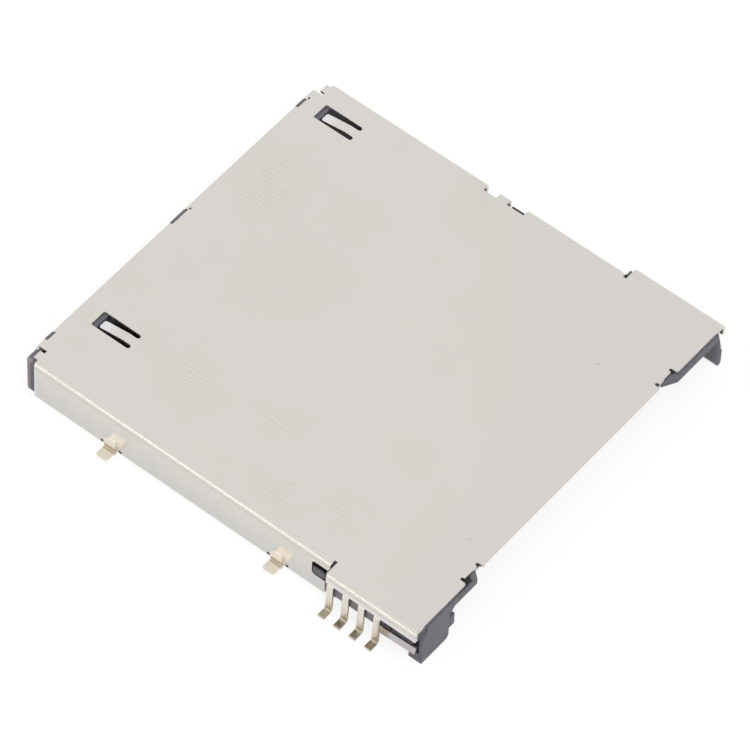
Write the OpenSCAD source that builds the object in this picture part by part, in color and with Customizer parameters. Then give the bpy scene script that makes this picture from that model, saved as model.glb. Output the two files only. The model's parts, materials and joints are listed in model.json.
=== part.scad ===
// Push-push memory card socket for a circuit board: a folded sheet shell over a moulded
// frame, nine spring contacts, a group of four switch pins and a sprung eject slider.
// X runs across the mouth, +Y is the way the card goes in, Z is up from the board.

/* [Card] */
// Width of the card that the slot takes
card_w = 24; // [23:0.1:24.3]
// Thickness of the card
card_t = 2.1; // [1.9:0.05:2.2]
// Height of the step along the card's two long lower edges
card_step = 0.7; // [0.5:0.05:0.9]
// Size of the card's cut corner
card_corner = 4; // [3.5:0.1:4.2]
// Height of the card's lower face above the board
card_z = 0.35; // [0.32:0.01:0.45]
// Side play of the card in its slot
card_play = 0.1; // [0.05:0.01:0.12]
// Distance of the card's right edge from the frame's side
card_side = 0.2; // [0.15:0.01:0.3]
// Travel of the slider from ejected to fully pushed in
travel = 4.2; // [3.6:0.1:4.4]

/* [Shell] */
// Step out of the wide mouth part on each side
jog = 0.65; // [0.55:0.01:0.9]
// Depth from the mouth edge to the back flange
shell_l = 29; // [28.6:0.1:31]
// Length of the wide mouth part
mouth_l = 6.35; // [6.2:0.05:6.6]
// Thickness of the sheet
sheet_t = 0.2; // [0.15:0.01:0.22]
// Outer radius of the folds
fold_r = 0.3; // [0.25:0.01:0.4]
// Gap between the side walls and the board
wall_lift = 0.22; // [0.05:0.01:0.25]
// Width of the slits and reliefs
slit_w = 0.22; // [0.15:0.01:0.25]
// Clearance between the shell and the frame
fit = 0.05; // [0.02:0.01:0.06]

/* [Shell edges] */
// Height of the short lips beside the mouth
lip_h = 0.78; // [0.6:0.02:0.8]
// Half width of the mouth's middle edge
mid_half = 8.06; // [7.5:0.01:8.5]
// Setback of the mouth edge on each side of its middle
setback = 0.3; // [0.2:0.01:0.35]
// Width of the setback edge
setback_w = 1.54; // [1.2:0.01:1.6]
// Depth of the relief slits at the setback's two ends
relief_l = 0.38; // [0.36:0.01:0.5]
// Distance of the back flange's ends from the sides
flange_side = 1.15; // [1:0.05:1.3]
// Height of the back flange
flange_h = 2.2; // [1.6:0.1:2.3]
// Distance of the side folds' ends from the back flange
fold_stop = 0.8; // [0.7:0.05:1]
// Setback of the rear corners from the back flange
corner_back = 0.48; // [0.4:0.02:0.6]
// Setback of the rear corners from the sides
corner_side = 0.35; // [0.3:0.01:0.5]
// Distance of the jog slits' ends from the sides
slit_side = 0.41; // [0.41:0.01:0.6]
// Distance of the side walls' front ends from the jog slits
wall_front = 0.33; // [0.25:0.01:0.4]
// Distance of the left frame nub in the back fold from the left side
nub_left = 2.13; // [2:0.01:3]
// Distance of the right frame nub in the back fold from the right side
nub_right = 2.37; // [2.2:0.01:3]

/* [Tongues, tabs and finger] */
// Width of the spring tongues in the top
tongue_w = 0.6; // [0.5:0.05:0.8]
// Length of the spring tongues
tongue_l = 2.29; // [1.8:0.01:2.35]
// Distance of the tongue roots from the back flange
tongue_back = 4.05; // [3.8:0.05:4.3]
// Distance of the left tongue from the left side
tongue_left = 4.83; // [4.5:0.05:6]
// Distance of the right tongue from the right side
tongue_right = 2.14; // [2:0.05:3]
// Width of the slits beside the tongues
tongue_slit = 0.3; // [0.2:0.01:0.35]
// Drop of the tongue tips
tongue_drop = 0.28; // [0.1:0.01:0.4]
// Gap behind the tongue tips
tongue_gap = 0.34; // [0.3:0.01:0.5]
// Width of the solder tabs on the side walls
tab_w = 0.85; // [0.8:0.05:1.1]
// Reach of the solder tabs past the side walls
tab_reach = 0.92; // [0.7:0.02:1]
// Height at which the solder tabs leave the side walls
tab_rise = 1.15; // [1:0.05:1.25]
// Distance that the solder tabs stand off the side walls
tab_stand = 0.2; // [0.15:0.01:0.3]
// Distance of the rear solder tabs from the back flange
tab_back = 6.52; // [6:0.01:7]
// Pitch of the solder tabs
tab_pitch = 12.2; // [12:0.1:12.6]
// Distance of the side finger from the back flange
finger_back = 13.31; // [12.8:0.1:13.8]
// Width of the side finger
finger_w = 0.75; // [0.6:0.05:0.9]
// Length of the notch behind the side finger
notch_rear = 1.01; // [0.9:0.01:1.3]
// Length of the notch before the side finger
notch_front = 1.24; // [0.9:0.05:1.4]
// Depth of those notches in the top
notch_in = 0.58; // [0.5:0.01:0.65]
// Depth of those notches down the wall
notch_drop = 2; // [1.8:0.05:2.2]
// Length of the window in the left wall
window_l = 0.95; // [0.8:0.05:1.2]
// Height of that window
window_h = 1.2; // [0.9:0.05:1.3]
// Distance of that window from the top
window_top = 0.7; // [0.5:0.05:0.8]

/* [Frame] */
// Thickness of the frame's floor
floor_t = 0.3; // [0.25:0.01:0.31]
// Length of the floor from the back flange
floor_l = 16.5; // [15:0.1:18]
// Width of the ledges that carry the card's edges
ledge_w = 0.85; // [0.6:0.05:1]
// Reach of the posts and bars past the mouth edge
bar_reach = 0.15; // [0.1:0.01:0.25]
// Width of the bars above the card at the mouth corners
bar_w = 0.25; // [0.2:0.01:0.35]
// Depth of the posts at the mouth
post_l = 1.25; // [1.1:0.05:1.4]
// Depth of the block that holds the contacts
block_l = 1.65; // [1.5:0.05:1.7]
// Wall of that block beside the last contact
block_wall = 0.3; // [0.2:0.02:0.4]
// Thickness of the back wall behind the slider
back_wall = 0.7; // [0.6:0.02:0.75]

/* [Contacts] */
// Distance of the first contact from the card's middle line
first_x = 6.875; // [6.6:0.025:7.1]
// Pitch of the first six contacts
pitch = 2.5; // [2.4:0.05:2.55]
// Pitch of the seventh contact
pitch_7 = 2.43; // [2.2:0.01:2.5]
// Pitch of the eighth contact
pitch_8 = 1.7; // [1.5:0.05:1.8]
// Width of a contact
contact_w = 0.7; // [0.5:0.05:0.8]
// Thickness of the contact strip
contact_t = 0.15; // [0.12:0.01:0.18]
// Height of the contact domes, free
dome_z = 1.38; // [1.2:0.02:1.5]
// Distance of the domes from the back flange
dome_back = 6.3; // [6:0.1:6.6]
// Reach of the tails past the back flange
tail_reach = 0.85; // [0.6:0.05:1.2]

/* [Switch pins] */
// Pitch of the four switch pins
pin_pitch = 1.11; // [1.05:0.01:1.15]
// Width of a switch pin
pin_w = 0.45; // [0.35:0.01:0.5]
// Thickness of the switch strips
pin_t = 0.15; // [0.12:0.01:0.16]
// Reach of the pins' feet past the mouth part
foot_reach = 0.7; // [0.5:0.02:0.9]
// Distance of the first pin from the jog
pin_front = 0.27; // [0.25:0.01:0.4]
// Height of the plastic bar behind the pins
pin_bar_h = 1.7; // [1.4:0.05:1.75]
// Length of that bar past the last pin
pin_bar_past = 0.32; // [0.3:0.01:0.5]

/* [Eject slider] */
// Width of the slider
slider_w = 1.9; // [1.85:0.05:2.3]
// Length of the slider
slider_l = 8; // [7.8:0.1:8.2]
// Thickness of the stop in front of the slider
stop_t = 0.6; // [0.4:0.05:0.8]
// Running clearance of the slider
slide_gap = 0.1; // [0.05:0.01:0.12]
// Diameter of the cam pin's wire
wire_d = 0.32; // [0.26:0.01:0.34]
// Clearance above and below the cam pin's arm
arm_gap = 0.14; // [0.12:0.01:0.3]
// Outer diameter of the eject spring
spring_d = 1.1; // [1:0.02:1.12]
// Wire diameter of the eject spring
spring_wire = 0.16; // [0.12:0.01:0.18]
// Number of turns of the eject spring
spring_turns = 15; // [12:1:16]

/* [Hidden] */

// Overshoot of cutting shapes, overlap of joined shapes, smoothness of round faces and bends
cut = 1;
join = 0.1;
round_fn = 48;
bend_steps = 5;

// Heights of the card slot, the slider and the shell
step_gap = 0.1;
card_top = card_z + card_t;
rail_z = card_z + card_step - step_gap;
bar_z = card_top + fit;
block_top = card_top - step_gap;
slider_top = block_top + fit;
slider_low = floor_t + fit;
under_z = slider_top + wire_d + 2 * arm_gap;
shell_h = under_z + sheet_t;
mid_z = shell_h - sheet_t / 2;
lip_z = shell_h - lip_h;
frame_top = under_z - fit;

// Widths, from the right wall across the card and its left ledge to the slider and the left wall
ledge_gap = 0.1;
card_lane = card_side + card_w + card_play + ledge_gap;
slider_lane = slider_w + 1.5 * slide_gap;
shell_w = 2 * sheet_t + fit + card_lane + slider_lane;
half_w = shell_w / 2;
half_mouth = half_w + jog;
in_x = half_w - sheet_t;
body_x = in_x - fit;
card_right = body_x - card_side;
card_left = card_right - card_w;
card_mid = card_right - card_w / 2;
slot_left = card_left - card_play;
slot_right = card_right + card_play;
ledge_left = slot_left - ledge_gap;
ledge_in = slot_left + ledge_w;
ledge_right = slot_right - ledge_w;

// Faces of the shell
back_y = shell_l / 2;
front_y = -shell_l / 2;
jog_y = front_y + mouth_l;
jog_end_y = jog_y + slit_w;
flat_x = half_w - fold_r;
flat_mouth = half_mouth - fold_r;
fold_end_y = back_y - fold_stop;
corner_y = back_y - corner_back;
corner_x = half_w - corner_side;
slit_x = half_w - slit_side;
flange_half = half_w - flange_side;
tongue_x = [-half_w + tongue_left, half_w - tongue_right];
tongue_y = back_y - tongue_back;
tab_y = [back_y - tab_back, back_y - tab_back - tab_pitch];

// Side finger and its notches in the right wall
finger_y = back_y - finger_back - finger_w;
notch_x = half_w - notch_in;
notch_z = shell_h - notch_drop;

// Ends of the side walls at the jog, and the window in the left wall
wall_end_y = jog_end_y + wall_front;
window_y = wall_end_y + window_l;
window_high = shell_h - window_top;
window_low = window_high - window_h;
window_r = 0.25;

// Nubs of the frame that show in cut-outs of the back fold
nub_x = [-half_w + nub_left, 0, half_w - nub_right];
nub_w = [0.62, 1.3, 0.7];
nub_sink = 0.1;
nub_h = 0.5;
nub_y = back_y - fold_r;
nub_z = shell_h - nub_sink;
nub_low = nub_z - nub_h;
relief_d = 0.2;

// Ends and walls of the frame
mouth_y = front_y - bar_reach;
post_back = mouth_y + post_l;
floor_y = back_y - floor_l;
back_in = back_y - sheet_t - fit;
wall_in = back_in - back_wall;
block_in = back_in - block_l;

// Contact places, in the order of their numbers
sixth_x = card_mid + first_x - 5 * pitch;
contact_x = [
  for (i = [0:5]) card_mid + first_x - i * pitch,
  sixth_x - pitch_7,
  sixth_x - pitch_7 - pitch_8,
  card_mid + first_x + pitch
];
contact_fit = 0.03;
base_z = 0.5;
block_left = contact_x[7] - contact_w / 2 - block_wall;

// Left side: switch pocket, pin bar and the post with the slot behind the detect leaf
pocket_rise = 0.25;
pocket_wall = 0.22;
pocket_z = rail_z + pocket_rise;
pocket_out = body_x - pocket_wall;
bar_out = half_mouth - sheet_t - fit;
bar_low = frame_top - pin_bar_h;
pin_inset = 0.03;
pin_drop = 0.17;
pin_y = jog_y - pin_front;
pin_x = half_mouth - sheet_t / 2 - pin_inset;
pin_z = lip_z - pin_drop;
bar_front = pin_y - 3 * pin_pitch - pin_bar_past;
post_side = 0.48;
post_out = half_mouth - post_side;
leaf_low = 1.11;
leaf_high = 1.78;
leaf_slot = 0.6;
leaf_gap = 0.1;

// Slider and its lane
foot_gap = 2 * slide_gap;
end_gap = 0.25;
lane_out = -in_x + slide_gap;
lane_in = lane_out + slider_w;
lane_mid = (lane_out + lane_in) / 2;
slider_end = wall_in - end_gap - travel;
slider_y = slider_end - slider_l;
stop_y = slider_y - slide_gap - stop_t;
slider_foot = block_left - foot_gap;

// Bore for the spring, and the loop in the slider's top with the pin that rides in it
bore_floor = 0.15;
bore_front = 1.8;
bore_r = spring_d / 2 + fit;
bore_z = slider_low + bore_floor + bore_r;
bore_y = slider_y + bore_front;
pivot_depth = 0.45;
pivot_gap = 0.04;
tip_back = 0.9;
pivot_y = wall_in + back_wall / 2;
pivot_z = slider_top - pivot_depth;
pivot_r = wire_d / 2 + pivot_gap;
tip_y = slider_end - tip_back;
arm_z = (slider_top + under_z) / 2;
arm_l = pivot_y - tip_y;
groove_gap = 0.06;
groove_depth = 0.5;
groove_wall = 0.13;
groove_w = wire_d + 2 * groove_gap;
groove_z = slider_top - groove_depth;
swing = (slider_w - groove_w) / 2 - groove_wall;

// Unit vector, left-hand normal and reversed list
function unit(v) = v / norm(v);
function normal(v) = [-v[1], v[0]];
function reversed(l) = [for (i = [len(l) - 1:-1:0]) l[i]];

// One side of a strip that follows a path at a given distance, with mitred corners
function side(p, d) = [
  for (i = [0:len(p) - 1])
    let (
      a = i > 0 ? unit(p[i] - p[i - 1]) : unit(p[1] - p[0]),
      b = i < len(p) - 1 ? unit(p[i + 1] - p[i]) : a,
      m = unit(normal(a) + normal(b))
    ) p[i] + m * d / (m * normal(a))
];

// Arc that rounds the corner b between a and c
function bend(a, b, c, r) =
  let (
    u = unit(a - b),
    v = unit(c - b),
    half = acos(u * v) / 2,
    centre = b + unit(u + v) * r / sin(half),
    from = b + u * r / tan(half) - centre,
    start = atan2(from[1], from[0]),
    turn = (180 - 2 * half) * sign(u[1] * v[0] - u[0] * v[1]) / bend_steps
  ) [for (k = [0:bend_steps]) centre + r * [cos(start + turn * k), sin(start + turn * k)]];

// Path with all its inner corners rounded
function smooth(p, r) = [
  p[0],
  for (i = [1:len(p) - 2]) each bend(p[i - 1], p[i], p[i + 1], r),
  p[len(p) - 1]
];

// Flat outline of a strip of sheet along a path
module strip(p, t) {
  polygon(concat(side(p, t / 2), reversed(side(p, -t / 2))));
}

// Box between two corners
module block(low, high) {
  translate(low)
    cube(high - low);
}

// Flat rectangle between two corners
module panel(low, high) {
  translate(low)
    square(high - low);
}

// Turns a flat outline in Y and Z into a solid across X
module across(x, w) {
  translate([x - w / 2, 0, 0])
    rotate([90, 0, 90])
      linear_extrude(w)
        children();
}

// Turns a flat outline in X and Z into a solid along Y
module along(y, l) {
  translate([0, y + l, 0])
    rotate([90, 0, 0])
      linear_extrude(l)
        children();
}

// Turns a flat outline in X and Y into an upright solid
module upright(low, high) {
  translate([0, 0, low])
    linear_extrude(high - low)
      children();
}

// The same thing on both sides of the socket
module both_sides() {
  for (s = [0, 1])
    mirror([s, 0, 0])
      children();
}

// Rectangle with round corners
module soft_square(low, high, r) {
  panel(low + [r, 0], high - [r, 0]);
  panel(low + [0, r], high - [0, r]);
  for (x = [low[0] + r, high[0] - r])
    for (y = [low[1] + r, high[1] - r])
      translate([x, y])
        circle(r, $fn = round_fn);
}

// Slit along Y with round ends
module slit(x, from, to, w) {
  panel([x - w / 2, from], [x + w / 2, to]);
  for (y = [from, to])
    translate([x, y])
      circle(d = w, $fn = round_fn);
}

// Fold of the sheet seen from its end: edge at x, hanging down to z
module fold_profile(x, z) {
  translate([x - fold_r, shell_h - fold_r])
    intersection() {
      difference() {
        circle(fold_r, $fn = round_fn);
        circle(fold_r - sheet_t, $fn = round_fn);
      }
      square(fold_r);
    }
  panel([x - sheet_t, z], [x, shell_h - fold_r]);
}

// Shell

// What rounds the corner at x of a part of the mouth edge that lies on the given side of x
module mouth_corner(x, side, r) {
  translate([x, front_y])
    mirror([side < 0 ? 1 : 0, 0])
      difference() {
        panel([-join, -cut], [r, r]);
        translate([r, r])
          circle(r, $fn = round_fn);
      }
}

// What is cut away along the mouth edge: the setbacks with a relief slit at both ends
module mouth_edge() {
  mid_r = 0.25;
  end_r = 0.15;
  end_x = mid_half + setback_w;
  for (s = [0, 1])
    mirror([s, 0]) {
      panel([mid_half, front_y - cut], [end_x, front_y + setback]);
      for (x = [mid_half + slit_w / 2, end_x - slit_w / 2])
        slit(x, front_y - cut, front_y + relief_l, slit_w);
      mouth_corner(mid_half, -1, mid_r);
      mouth_corner(end_x, 1, end_r);
    }
}

// Place on the tongue, from its root, where it turns down
tongue_bend = 0.5;
tongue_bend_r = 0.5;

// Slits round a tongue and the space that its bent part leaves in the top
module tongue_cut(x) {
  tip_y = tongue_y + tongue_l;
  slit_mid = (tongue_w + tongue_slit) / 2;
  far_x = tongue_w / 2 + tongue_slit;
  corner_r = 0.1;
  for (s = [-1, 1])
    slit(x + s * slit_mid, tongue_y, tip_y, tongue_slit);
  soft_square([x - far_x, tip_y - tongue_slit], [x + far_x, tip_y + tongue_gap], corner_r);
  panel([x - slit_mid, tongue_y + tongue_bend], [x + slit_mid, tip_y]);
}

module tongue(x) {
  tip_r = tongue_w / 4;
  start = [tongue_y + tongue_bend / 2, mid_z];
  turn = [tongue_y + tongue_bend, mid_z];
  tip = [tongue_y + tongue_l, mid_z - tongue_drop];
  intersection() {
    across(x, tongue_w)
      strip(smooth([start, turn, tip], tongue_bend_r), sheet_t);
    upright(under_z - tongue_drop - cut, shell_h + cut)
      soft_square([x - tongue_w / 2, tongue_y - cut], [x + tongue_w / 2, tongue_y + tongue_l], tip_r);
  }
}

// Flat top of the shell with its jogs, slits, notches and cut-outs
module plate_outline() {
  difference() {
    union() {
      panel([-flat_x, jog_end_y], [flat_x, fold_end_y]);
      panel([-flange_half, fold_end_y - cut], [flange_half, back_y - fold_r]);
      for (s = [0, 1])
        mirror([s, 0])
          panel([flange_half + slit_w, fold_end_y - cut], [corner_x, corner_y]);
      panel([-slit_x, jog_y - cut], [slit_x, jog_end_y + cut]);
      panel([-flat_mouth, front_y], [flat_mouth, jog_y]);
    }
    mouth_edge();
    for (x = tongue_x)
      tongue_cut(x);
    for (i = [0:2])
      panel([nub_x[i] - nub_w[i] / 2 - fit, nub_y], [nub_x[i] + nub_w[i] / 2 + fit, nub_y + cut]);
    for (i = [1, 2])
      translate([nub_x[i] + nub_w[i] / 2 + relief_d, nub_y])
        circle(d = relief_d, $fn = round_fn);
    panel([notch_x, finger_y - notch_front], [half_w, finger_y]);
    panel([notch_x, finger_y + finger_w], [half_w, finger_y + finger_w + notch_rear]);
  }
}

// Lobe of a solder tab seen from the side of the socket
module tab_lobe(y) {
  arch_z = tab_rise - tab_w / 2;
  panel([y - tab_w / 2, -cut], [y + tab_w / 2, arch_z]);
  translate([y, arch_z])
    circle(d = tab_w, $fn = round_fn);
}

// Opening that a solder tab leaves in the side walls, with a relief at each foot
module tab_cut(y) {
  relief_side = 0.25;
  relief_rise = 0.12;
  across(0, 2 * half_mouth) {
    tab_lobe(y);
    for (s = [-1, 1])
      translate([y + s * (tab_w / 2 + relief_side), wall_lift + relief_rise])
        circle(d = slit_w, $fn = round_fn);
  }
}

// Solder tab on the right wall, pushed out of it and turned flat onto the board
module solder_tab(y) {
  knee = 0.1;
  bulge_z = 0.66;
  tuck = 0.06;
  foot_corner = 0.2;
  mid_x = half_w - sheet_t / 2;
  end_x = half_w + tab_reach;
  path = [
    [mid_x, tab_rise + cut / 2], [mid_x, tab_rise - knee],
    [mid_x + tab_stand, bulge_z], [mid_x + tuck, sheet_t / 2], [end_x, sheet_t / 2]
  ];
  intersection() {
    along(y - tab_w / 2, tab_w)
      strip(smooth(path, fold_r / 2), sheet_t);
    across(half_w, half_mouth)
      tab_lobe(y);
    upright(-cut, tab_rise + cut)
      soft_square([half_w - cut, y - tab_w / 2], [end_x, y + tab_w / 2], foot_corner);
  }
}

// Spring finger that hangs inside the right wall and presses on the card's edge
module side_finger() {
  press = 0.02;
  straight_h = 0.75;
  press_h = 0.6;
  tip_h = 0.4;
  side_gap = 0.08;
  straight_z = mid_z - straight_h;
  press_z = straight_z - press_h;
  tip_z = press_z - tip_h;
  outer_x = half_w - sheet_t / 2 - side_gap;
  path = [
    [notch_x - sheet_t, mid_z], [outer_x, mid_z], [outer_x, straight_z],
    [card_right - press, press_z], [outer_x - sheet_t / 2, tip_z]
  ];
  along(finger_y, finger_w)
    strip(smooth(path, fold_r / 2), sheet_t);
}

module side_walls() {
  difference() {
    both_sides()
      along(jog_end_y, fold_end_y - jog_end_y)
        fold_profile(half_w, wall_lift);
    both_sides()
      block([0, jog_end_y - cut, 0], [half_w + cut, wall_end_y, window_high]);
    across(-half_w, 2 * (sheet_t + fit))
      soft_square([jog_end_y - cut, window_low], [window_y, window_high], window_r);
    block(
      [notch_x, finger_y - notch_front, notch_z],
      [half_w + cut, finger_y + finger_w + notch_rear, shell_h + cut]
    );
    for (y = tab_y)
      tab_cut(y);
  }
  both_sides()
    for (y = tab_y)
      solder_tab(y);
}

module mouth_lips() {
  both_sides()
    along(front_y, mouth_l)
      fold_profile(half_mouth, lip_z);
}

module back_flange() {
  difference() {
    across(0, 2 * flange_half)
      fold_profile(back_y, shell_h - flange_h);
    for (i = [0:2])
      block(
        [nub_x[i] - nub_w[i] / 2 - fit, nub_y, nub_low - fit],
        [nub_x[i] + nub_w[i] / 2 + fit, back_y + cut, shell_h + cut]
      );
  }
}

module top_shell() {
  color("gainsboro") {
    upright(under_z, shell_h)
      plate_outline();
    side_walls();
    mouth_lips();
    back_flange();
    side_finger();
    for (x = tongue_x)
      tongue(x);
  }
}

// Frame

// Floor under the card and the slider
module floor_plate() {
  block([ledge_left, floor_y, 0], [body_x, block_in + join, floor_t]);
  block([-body_x, stop_y, 0], [block_left, back_in, floor_t]);
}

// Window below each contact arm, and the slot in the block behind it
module contact_cuts() {
  window_gap = 0.2;
  window_past = 1.3;
  window_half = contact_w / 2 + window_gap;
  slot_half = contact_w / 2 + contact_fit;
  slot_top = base_z + contact_t / 2 + contact_fit;
  for (x = contact_x) {
    block([x - window_half, back_y - dome_back - window_past, -cut], [x + window_half, block_in, dome_z]);
    block([x - slot_half, block_in - cut, -cut], [x + slot_half, back_y + cut, slot_top]);
  }
}

// Ledges that carry the stepped edges of the card
module ledges() {
  lead_in = 0.35;
  block([ledge_left, mouth_y + lead_in, 0], [ledge_in, back_in, rail_z]);
  block([ledge_right, post_back + lead_in, 0], [body_x, back_in, rail_z]);
}

// Stop for the card's cut corner, from the line x across to the side
module corner_stop(x) {
  tip_y = block_in - step_gap;
  start_x = slot_right - card_corner;
  polygon([
    [x, block_in + join], [x, tip_y + start_x - x], [slot_right, tip_y - card_corner],
    [body_x, tip_y - card_corner], [body_x, block_in + join]
  ]);
}

// What the frame's rear corners leave open: the shell's right corner slit and the board at the left
module rear_corner_cuts() {
  open_y = fold_end_y - slit_w;
  left_w = 0.9;
  left_h = 0.5;
  block([flange_half - fit, open_y, rail_z], [body_x + cut, back_in + cut, shell_h]);
  block([-body_x - cut, open_y, -cut], [-body_x + left_w, back_y + cut, left_h]);
}

// Block that holds the contacts, and the wall behind it that carries the spring and the cam pin
module back_block() {
  spring_post_l = 3;
  rear_r = 0.3;
  corner_out = half_w - contact_fit;
  corner_end = back_y - slide_gap;
  pad_half = tongue_w / 2 + tongue_slit;
  pad_y = tongue_y + tongue_l + slide_gap;
  arm_half = wire_d / 2 + foot_gap;
  difference() {
    union() {
      block([block_left, block_in, 0], [body_x, back_in, block_top]);
      block([-body_x, wall_in, 0], [body_x, back_in, frame_top]);
      upright(0, frame_top)
        intersection() {
          panel([-corner_out, fold_end_y + fit], [-flange_half - slide_gap, corner_end]);
          soft_square([-corner_out, wall_in], [0, corner_end], rear_r);
        }
      for (x = tongue_x)
        block([x - pad_half, pad_y, block_top - join], [x + pad_half, wall_in + join, frame_top]);
      for (i = [0:2])
        across(nub_x[i], nub_w[i]) {
          panel([wall_in, nub_low], [back_y - fit, frame_top]);
          panel([nub_y + fit, nub_low], [back_y - fit, nub_z]);
        }
      upright(dome_z, block_top)
        corner_stop(slot_right - card_corner);
      upright(rail_z - join, dome_z + join)
        corner_stop(ledge_right);
    }
    translate([lane_mid, pivot_y, pivot_z - contact_fit])
      cylinder(h = shell_h, r = pivot_r, $fn = round_fn);
    block(
      [lane_mid - arm_half, wall_in - cut, arm_z - wire_d / 2 - slide_gap],
      [lane_mid + arm_half, pivot_y, shell_h]
    );
  }
  translate([lane_mid, wall_in + join, bore_z])
    rotate([90, 0, 0])
      cylinder(h = spring_post_l + join, r = spring_d / 2 - spring_wire - fit, $fn = round_fn);
}

// Lug in the notch before the side finger, which holds the shell lengthwise
module side_lug() {
  lug_sink = 0.05;
  lug_drop = 0.35;
  lug_out = half_w - lug_sink;
  lug_z = frame_top - lug_drop;
  front = finger_y - notch_front + slide_gap;
  back = finger_y - slide_gap;
  block([slot_right, front, rail_z - join], [body_x, back, lug_z]);
  block([slot_right, front, notch_z + fit], [lug_out, back, lug_z]);
}

// Left side: base of the switch pocket, the stop for the slider, the outer wall and the pin bar
module switch_side() {
  lug_h = 0.8;
  lug_sink = 0.03;
  slot_half = pin_w / 2 + contact_fit;
  slot_low = pin_z - pin_t / 2 - contact_fit;
  block([-body_x, jog_y, 0], [ledge_left + join, stop_y + join, pocket_z]);
  block([-pocket_out, post_back - join, 0], [ledge_left + join, jog_y + join, pocket_z]);
  block([-body_x, stop_y, 0], [ledge_left, stop_y + stop_t, frame_top]);
  across(-half_w + sheet_t, 2 * (sheet_t - lug_sink))
    soft_square([wall_end_y + fit, window_low + fit], [window_y - fit, window_low + lug_h], window_r - fit);
  difference() {
    union() {
      block([-body_x, bar_front, floor_t], [-pocket_out + join, stop_y + join, pocket_z]);
      block([-body_x, bar_front, floor_t], [-pocket_out, stop_y + join, frame_top]);
      block([-bar_out, bar_front, bar_low], [-pocket_out, jog_end_y - fit, frame_top]);
    }
    block(
      [-body_x - cut, wall_end_y, window_low + lug_h + fit],
      [-pocket_out + join, window_y - fit, window_high]
    );
    for (i = [0:3])
      block(
        [-bar_out - cut, pin_y - i * pin_pitch - slot_half, slot_low],
        [-pocket_out + cut, pin_y - i * pin_pitch + slot_half, shell_h]
      );
  }
}

// Post at the left of the mouth, with the slot behind the detect leaf, and the bar above the card
module left_post() {
  post_r = 0.5;
  foot_r = 0.35;
  plate_t = 0.2;
  plate_cut = 0.45;
  plate_top = 0.25;
  bevel = 0.45;
  tip_gap = 0.26;
  tip_w = 0.56;
  bar_slant = 0.46;
  neck = 0.5;
  neck_w = 0.47;
  heel = 0.8;
  lug_l = 0.9;
  lug_top = 0.75;
  cap_low = leaf_high + fit;
  plate_x = -post_out + plate_cut;
  tip_x = -mid_half - tip_gap;
  block([-post_out, mouth_y, 0], [ledge_left - foot_r, mouth_y + lug_l, lug_top]);
  difference() {
    union() {
      block([-post_out + leaf_slot, mouth_y, 0], [ledge_left, post_back, frame_top]);
      along(mouth_y, plate_t)
        polygon([
          [-post_out, 0], [ledge_left, 0], [ledge_left, frame_top], [plate_x, frame_top],
          [plate_x, frame_top - plate_top], [-post_out, cap_low]
        ]);
    }
    along(mouth_y - cut, post_l + 2 * cut)
      translate([ledge_left - foot_r, foot_r])
        difference() {
          panel([0, -foot_r - cut], [foot_r + cut, 0]);
          circle(foot_r, $fn = round_fn);
        }
  }
  upright(cap_low, frame_top)
    intersection() {
      soft_square([-post_out, mouth_y + plate_t / 2], [ledge_left, post_back + cut], post_r);
      panel([-post_out, mouth_y], [ledge_left - post_r, post_back]);
    }
  upright(bar_z, frame_top)
    polygon([
      [ledge_left - join, mouth_y], [tip_x - bar_slant, mouth_y], [tip_x, mouth_y + tip_w],
      [tip_x - neck, mouth_y + neck_w], [tip_x - heel, mouth_y + bar_w],
      [ledge_left - join, mouth_y + bar_w]
    ]);
  along(mouth_y, bar_w)
    polygon([
      [ledge_left - join, bar_z + join], [ledge_left - join, bar_z - bevel], [ledge_left, bar_z - bevel],
      [ledge_left + bevel, bar_z], [ledge_left + bevel, bar_z + join]
    ]);
}

// Right side of the mouth: rounded post, the rail block behind it and the bar above the card
module right_post() {
  tip_gap = 0.5;
  tip_w = 0.52;
  bar_slant = 0.94;
  bar_end = 0.1;
  neck = 0.85;
  neck_w = 0.47;
  heel = 1.17;
  post_gap = 0.14;
  post_inset = 0.05;
  nose_flat = 0.08;
  heel_cut = 0.26;
  heel_z = 0.6;
  toe = 0.45;
  toe_side = 0.15;
  toe_z = 0.1;
  nose_z = 0.65;
  waist = 0.38;
  waist_z = 1.5;
  shoulder = 0.66;
  rail_past = 0.05;
  post_x = slot_right + post_gap;
  post_far = half_mouth - post_inset;
  nose_r = (post_far - post_x - nose_flat) / 2;
  rail_x = half_mouth - sheet_t - fit;
  tip_x = mid_half + tip_gap;
  intersection() {
    upright(0, frame_top)
      soft_square([post_x, mouth_y], [post_far, post_back], nose_r);
    along(mouth_y - cut, post_l + 2 * cut)
      polygon([
        [post_x + heel_cut, 0], [post_far - toe, 0], [post_far - toe_side, toe_z], [post_far, nose_z],
        [post_far - waist, waist_z], [post_far - shoulder, frame_top], [post_x, frame_top], [post_x, heel_z]
      ]);
  }
  block([body_x - join, post_back - join, 0], [rail_x, jog_end_y - fit, frame_top]);
  block([half_w + fit, jog_y, 0], [rail_x, jog_end_y + rail_past, frame_top]);
  upright(bar_z, frame_top)
    polygon([
      [tip_x, mouth_y + tip_w], [tip_x + bar_slant, mouth_y], [post_x + bar_end, mouth_y],
      [post_x + nose_r, mouth_y + bar_w], [tip_x + heel, mouth_y + bar_w],
      [tip_x + neck, mouth_y + neck_w]
    ]);
}

module housing() {
  color("slategray") {
    difference() {
      union() {
        floor_plate();
        ledges();
        back_block();
      }
      contact_cuts();
      rear_corner_cuts();
    }
    side_lug();
    switch_side();
    left_post();
    right_post();
  }
}

// Contacts and switch pins

strip_bend_r = 0.2;

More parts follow.
